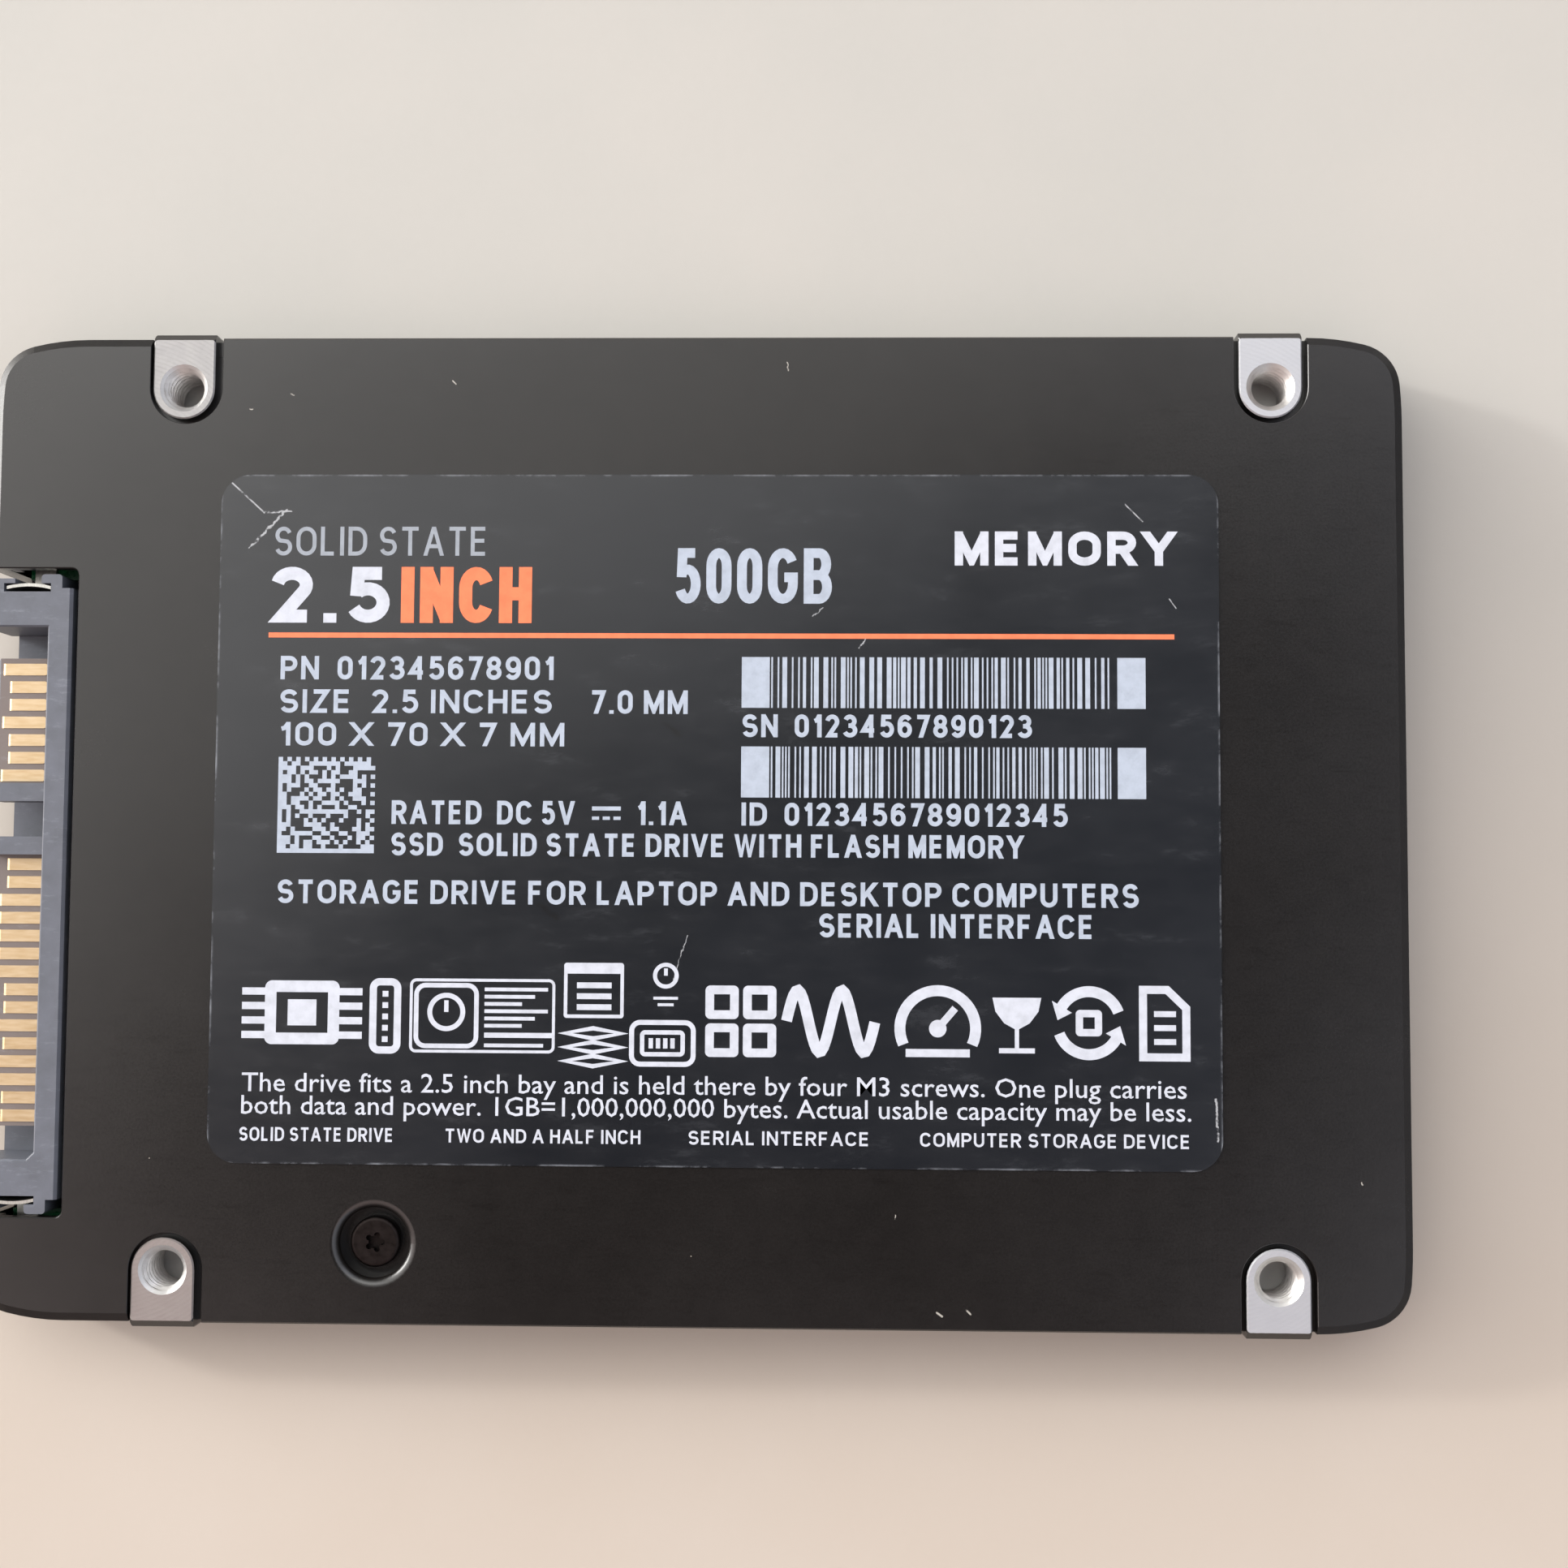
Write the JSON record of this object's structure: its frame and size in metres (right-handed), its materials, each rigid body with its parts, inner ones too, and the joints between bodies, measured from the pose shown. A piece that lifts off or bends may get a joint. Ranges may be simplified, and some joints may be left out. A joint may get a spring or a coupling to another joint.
{
  "type": "solid state drive",
  "caption": "Flat 2.5-inch solid state drive in a two-part metal case, with a serial data and power plug at one end and threaded mounting holes on its label side and long sides.",
  "frame": {"origin": "middle of the drive's length and width, on its plain face, which the drive lies on here", "axes": "+X from the connector end to the far end, +Y across the width so that the signal contacts are on the +Y side, +Z out of the label side"},
  "size_m": [0.1, 0.0698, 0.0068],
  "materials": {
    "shell_paint": "satin black paint on cast aluminium, bare machined faces at the mounting bosses",
    "cover_paint": "satin black paint on a thin aluminium plate",
    "screw_steel": "black-plated steel",
    "label_film": "dark grey printed film",
    "plug_plastic": "blue-grey moulded plastic, fine texture",
    "contact_gold": "gold-plated copper alloy",
    "clip_metal": "tin-plated spring steel",
    "board_laminate": "green solder mask on glass-fibre laminate",
    "chip_package": "black moulded epoxy",
    "inductor_case": "dark grey pressed iron powder",
    "capacitor_case": "black moulded resin",
    "ceramic_body": "tan fired ceramic",
    "resistor_body": "black glazed alumina",
    "crystal_can": "nickel-plated can",
    "fuse_body": "white alumina",
    "pad_silicone": "soft grey-blue silicone"
  },
  "bodies": {
    "root": {"base_shell": "shell_paint", "cover_plate": "cover_paint", "case_screws": "screw_steel", "label": "label_film", "connector_housing": "plug_plastic", "signal_contacts": "contact_gold", "power_contacts": "contact_gold", "connector_clips": "clip_metal", "circuit_board": "board_laminate", "controller_chip": "chip_package", "memory_chip": "chip_package", "flash_chips": "chip_package", "power_chip": "chip_package", "power_inductors": "inductor_case", "bulk_capacitors": "capacitor_case", "ceramic_capacitors": "ceramic_body", "chip_resistors": "resistor_body", "crystal_oscillator": "crystal_can", "input_fuse": "fuse_body", "surge_diode": "chip_package", "temperature_sensor": "chip_package", "controller_thermal_pad": "pad_silicone", "flash_thermal_pads": "pad_silicone"}
  },
  "joints": []
}
